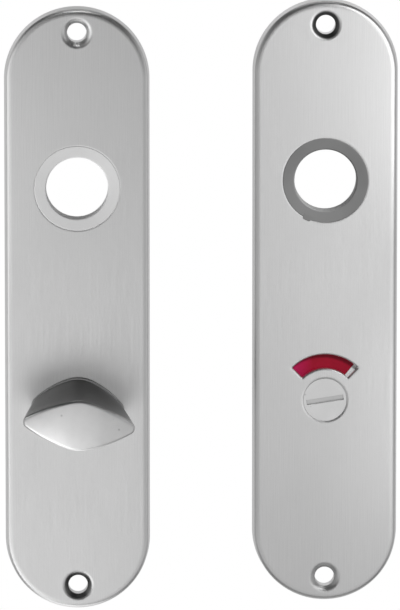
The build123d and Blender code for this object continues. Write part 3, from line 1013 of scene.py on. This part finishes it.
# %% The thumbturn as one closed mesh
def knob_mesh():
    builder = bmesh.new()
    made = [[builder.verts.new((x * MM, y * MM, z * MM)) for x, y, z in ring] for ring in knob_rings]
    bridge_rings(builder, made)
    for ring, height in ((made[0], socket_depth), (made[-1], knob_top)):
        pole = builder.verts.new((0, 0, height * MM))
        for i in range(around):
            builder.faces.new((ring[i], ring[(i + 1) % around], pole))
    bmesh.ops.recalc_face_normals(builder, faces=builder.faces)
    return built("knob", builder)


def bored(mesh, radius, reach, height):
    """Cuts the set screw's hole from below with a boolean."""
    builder = bmesh.new()
    turn = Matrix.Translation((0, -reach / 2 * MM, height * MM)) @ Matrix.Rotation(pi / 2, 4, "X")
    sizes = dict(radius1=radius * MM, radius2=radius * MM, depth=reach * MM)
    bmesh.ops.create_cone(builder, cap_ends=True, segments=48, matrix=turn, **sizes)
    cutter = hang("drill", built("drill", builder))
    body = hang("bored", mesh)
    cut = body.modifiers.new("hole", "BOOLEAN")
    cut.object = cutter
    cut.solver = "EXACT"
    return evaluated(body, cutter)


knob_turn = radians(-4)
knob = bored(knob_mesh(), radius=2.05, reach=17.5, height=8.6)
knob.transform(Matrix.Rotation(knob_turn, 4, "Z"))
piece("thumbturn_grip", stand(knob, thumb_axis), "thumbturn", ["thumbturn_knob"], "satin_aluminium")

# %% [markdown]
# ## Breaking the edges of the small parts
# The other parts already have their exact shape from the solid, but every edge on them is perfectly sharp,
# which nothing real is. Making them again would win nothing. A copy of each is cleaned of its loose
# triangles, and a Bevel modifier with an angle limit breaks only the true corners, by a few hundredths of a
# millimetre on the thin parts and more on the spindle. The release's head is widened a little as well.

# %% Softened copies of the solids
def softened(name, width, sharper_than=35.0, reshape=None):
    """A copy of a node's mesh with its corners broken, which then stands for the node."""
    builder = bmesh.new()
    builder.from_mesh(nodes[name].data)
    if reshape:
        reshape(builder)
    bmesh.ops.remove_doubles(builder, verts=builder.verts, dist=0.000001)
    bmesh.ops.dissolve_limit(builder, angle_limit=radians(0.5), verts=builder.verts, edges=builder.edges)
    holder = hang("holder", built(name, builder))
    bevel = holder.modifiers.new("broken edges", "BEVEL")
    bevel.width = width * MM
    bevel.segments = 2
    bevel.limit_method = "ANGLE"
    bevel.angle_limit = radians(sharper_than)
    bevel.miter_outer = "MITER_ARC"
    piece(name + "_soft", evaluated(holder), homes[name], [name], slots[name])


bodies = frame["record"]["behaviour"]["bodies"]
homes = {name: body for body, part_names in bodies.items() for name in part_names}
corner_widths = {
    "coin_release_rotor": 0.05, "indicator_disc": 0.1, "indicator_red_segment": 0.06,
    "indicator_keeper": 0.08, "thumbturn_spindle": 0.35, "thumbturn_thrust_washer": 0.07,
    "indicator_glide_washer": 0.05, "thumbturn_circlip": 0.08, "thumbturn_bearing": 0.08,
    "thumbturn_spring_washer": 0.05, "indicator_spring_washer": 0.04, "thumbturn_grub_screw": 0.1,
}


def closer_head(builder, edge_radius=6.0, growth=1.014):
    """Widens the release's head, so that only a hairline is left between it and the plate."""
    for vert in builder.verts:
        across, up = vert.co.x - coin_axis.x, vert.co.z - coin_axis.z
        if vert.co.y < -sheet_back * MM and hypot(across, up) > edge_radius * MM:
            vert.co.x, vert.co.z = coin_axis.x + across * growth, coin_axis.z + up * growth


for name, width in corner_widths.items():
    softened(name, width, reshape=closer_head if name == "coin_release_rotor" else None)

# %% [markdown]
# ## Lights and the studio
# Satin metal shows the room more than itself, so the lights draw the plates. The room is white to the
# camera from every side. To the metal it is bright low in front and behind, softer at the sides and below,
# and dark above, which keeps the thumbturn's upper side dark. A white floor lies far below, so that it
# hides nothing from a low view.
#
# In the photograph the two plates don't have the same light: the inside plate has it from the lower left,
# the outside plate from the upper right. Both were clearly lit alone. Light linking does that in one scene:
# each panel is linked to what it lights, mostly one plate, ring or grip. One panel shines past the grip,
# because the soft shadow above it is paler in the photograph than a single front light would make it.

# %% The pale floor
def pale_floor(width, front, back, floor_z):
    """A wide sheet of white paper below the plates, which hang free above it."""
    ends = ((-width / 2, front), (width / 2, front), (width / 2, back), (-width / 2, back))
    mesh = bpy.data.meshes.new("floor")
    mesh.from_pydata([(x, y, floor_z) for x, y in ends], [], [(0, 1, 2, 3)])
    return hang("floor", mesh)


floor = pale_floor(12.0, -6.0, 6.0, low.z - 3.0)
paper = Finish("paper", 0.0, 0.9, base_color=grey(0.85), emission_color=grey(1.0), emission_strength=1.0)
floor.data.materials.append(paper.wire(normal=paper.bump(paper.noise(400.0), 0.1, 0.0001)))
floor.visible_glossy = False
floor.visible_diffuse = False
floor.visible_shadow = False
print(f"floor at {floor.data.vertices[0].co.z:.2f} m")

# %% The room
world = bpy.data.worlds.new("room")
scene.world = world
world.use_nodes = True
room = world.node_tree
way = split(room, step(room, "ShaderNodeTexCoord", out="Generated"))


def fade(value, start, end, first=0.0, last=1.0):
    """A value that eases from one number to another."""
    fill = {"Value": value, "From Min": start, "From Max": end, "To Min": first, "To Max": last}
    return step(room, "ShaderNodeMapRange", fill, out="Result", interpolation_type="SMOOTHSTEP")


def product(one, *others):
    for other in others:
        one = calc(room, "MULTIPLY", one, other)
    return one


def total(one, *others):
    for other in others:
        one = calc(room, "ADD", one, other)
    return one


front_glow, back_glow, side_glow, floor_glow, dim = 0.60, 0.55, 0.34, 0.35, 0.045
front = fade(way["Y"], -0.36, -0.76, 0.0, front_glow)
under_brow = fade(way["Z"], 0.03, -0.16)
over_floor = fade(way["Z"], -0.85, -0.42)
behind = fade(way["Y"], 0.10, 0.60, 0.0, back_glow)
sides = fade(calc(room, "ABSOLUTE", way["X"]), 0.50, 0.95, 0.0, side_glow)
under = fade(way["Z"], -0.72, -0.94, 0.0, floor_glow)
surround = product(total(behind, sides), fade(way["Z"], 0.75, 0.25))
glow = total(product(front, under_brow, over_floor), surround, under, dim)
seen = step(room, "ShaderNodeLightPath", out="Is Camera Ray")
glow = step(room, "ShaderNodeMix", {0: seen, 2: glow, 3: 1.0})
room.links.new(glow, room.nodes["Background"].inputs["Strength"])
room.nodes["Background"].inputs["Color"].default_value = grey(1.0)
scene.view_settings.view_transform = "Standard"
print("nodes of the room:", len(room.nodes))

# %% The pieces that a panel can be linked to
def only(name, *members):
    """Some pieces by name, as a collection that panels can be linked to."""
    group = bpy.data.collections.new(name)
    for member in members:
        group.objects.link(scene.objects[member])
    return group


near_inside = [item.name for item in scene.objects if item.name.startswith(("inside_", "thumbturn_"))]
inside_group = only("inside pieces", *(name for name in near_inside if name not in nodes))
skins = only("both plates", "inside_plate_skin", "outside_plate_skin")
inside_face = only("inside plate alone", "inside_plate_skin")
outside_face = only("outside plate alone", "outside_plate_skin")
grip = only("grip", "thumbturn_grip")
no_shadow = only("casts no shadow", "thumbturn_grip")
light_ring = only("light ring", "inside_bush_ring")
dark_ring = only("dark ring", "outside_bush_ring")
indicator = only("indicator", "indicator_disc_soft", "indicator_red_segment_soft")
release = only("release", "coin_release_rotor_soft")

# %% One panel
def panel(name, group, place, toward, width, height, strength, spread=180.0, past=None):
    """A flat light of a given brightness, unseen by the camera, which may shine past one piece."""
    data = bpy.data.lights.new(name, "AREA")
    data.shape = "RECTANGLE"
    data.size = width
    data.size_y = height
    data.energy = strength * pi * width * height
    data.spread = radians(spread)
    box = hang(name, data)
    box.location = place
    box.rotation_euler = (Vector(toward) - Vector(place)).to_track_quat("-Z", "Y").to_euler()
    box.visible_camera = False
    box.light_linking.receiver_collection = group
    if past:
        box.light_linking.blocker_collection = past
        past.collection_objects[0].light_linking.link_state = "EXCLUDE"


print(f"a panel of strength 1 gives {pi:.2f} watts for each square metre")

# %% Panels of the inside plate and the grip
inside_aim = (0.0, 0.0, -0.05)
panel("inside_low_left", inside_face, (-0.28, -0.36, -0.32), inside_aim, 0.26, 0.30, 0.8)
panel("inside_front", inside_face, (-0.12, -0.50, -0.30), (0.0, 0.0, -0.12), 0.24, 0.24, 0.35)
panel("inside_soft", inside_face, (-0.05, -0.50, -0.15), (0.0, 0.0, -0.08), 0.24, 0.20, 0.5, past=no_shadow)
panel("inside_near_low", inside_face, (-0.045, -0.07, -0.165), (-0.014, 0.0, -0.113), 0.06, 0.05, 0.4)
panel("inside_side", inside_face, (-0.32, -0.18, -0.04), inside_aim, 0.26, 0.36, 0.7)
panel("inside_far_side", inside_face, (0.31, -0.15, 0.0), inside_aim, 0.20, 0.36, 0.25)
panel("inside_above", inside_face, (0.0, -0.10, 0.25), (0.0, 0.0, 0.084), 0.10, 0.06, 0.15, spread=22.0)
panel("inside_behind", inside_face, (-0.03, 0.60, 0.20), (0.0, 0.0, 0.05), 0.50, 0.36, 0.25)
panel("inside_under", inside_group, (-0.05, -0.06, -0.42), (-0.02, 0.0, -0.1), 0.30, 0.30, 0.9)
panel("inside_near_left", inside_face, (-0.052, -0.07, 0.035), (-0.016, 0.0, 0.035), 0.04, 0.14, 0.38)
panel("grip_low", grip, (-0.15, -0.36, -0.32), (0.0, -0.03, -0.06), 0.26, 0.26, 1.9)
panel("grip_front", grip, (-0.02, -0.55, -0.06), (0.0, -0.03, -0.063), 0.26, 0.16, 0.6)
panel("grip_high_left", grip, (-0.42, -0.42, 0.20), (0.0, -0.02, -0.06), 0.30, 0.16, 1.6)
panel("grip_high_right", grip, (0.42, -0.42, 0.20), (0.0, -0.02, -0.06), 0.30, 0.16, 1.6)
print("panels so far:", len(bpy.data.lights))

# %% Panels of the outside plate, its release and the rings
outside_aim = (0.07, 0.0, -0.02)
release_aim = (0.07, 0.0, -0.06)
panel("over_plates", skins, (0.03, 0.10, 0.42), (0.03, 0.0, 0.06), 0.34, 0.16, 0.75)
panel("outside_high_right", outside_face, (0.36, -0.34, 0.30), outside_aim, 0.36, 0.40, 0.70)
panel("outside_front", outside_face, (0.17, -0.50, -0.05), (0.08, 0.0, -0.02), 0.20, 0.24, 0.95)
panel("outside_right", outside_face, (0.27, -0.34, 0.06), (0.09, 0.0, 0.02), 0.10, 0.30, 0.8)
panel("outside_near_high", outside_face, (0.16, -0.22, 0.17), (0.10, 0.0, 0.09), 0.12, 0.16, 1.0)
panel("outside_near_right", outside_face, (0.122, -0.07, 0.055), (0.090, 0.0, 0.055), 0.04, 0.13, 1.05)
panel("outside_near_low", outside_face, (0.112, -0.07, -0.084), (0.086, 0.0, -0.084), 0.05, 0.05, 0.3)
panel("outside_behind", outside_face, (0.10, 0.60, 0.20), (0.08, 0.0, 0.05), 0.50, 0.36, 0.45)
panel("indicator_above", indicator, (0.19, -0.26, 0.17), release_aim, 0.10, 0.08, 37.0)
panel("release_above", release, (0.16, -0.34, 0.10), release_aim, 0.20, 0.20, 2.3)
panel("release_front", release, (0.08, -0.50, -0.15), release_aim, 0.18, 0.16, 0.55)
panel("light_ring_fill", light_ring, (-0.20, -0.34, -0.20), (0.0, 0.0, 0.0), 0.20, 0.20, 10.0)
panel("dark_ring_fill", dark_ring, (0.37, -0.20, 0.30), (0.07, 0.0, 0.0), 0.20, 0.20, 18.0)
print("panels:", len(bpy.data.lights))
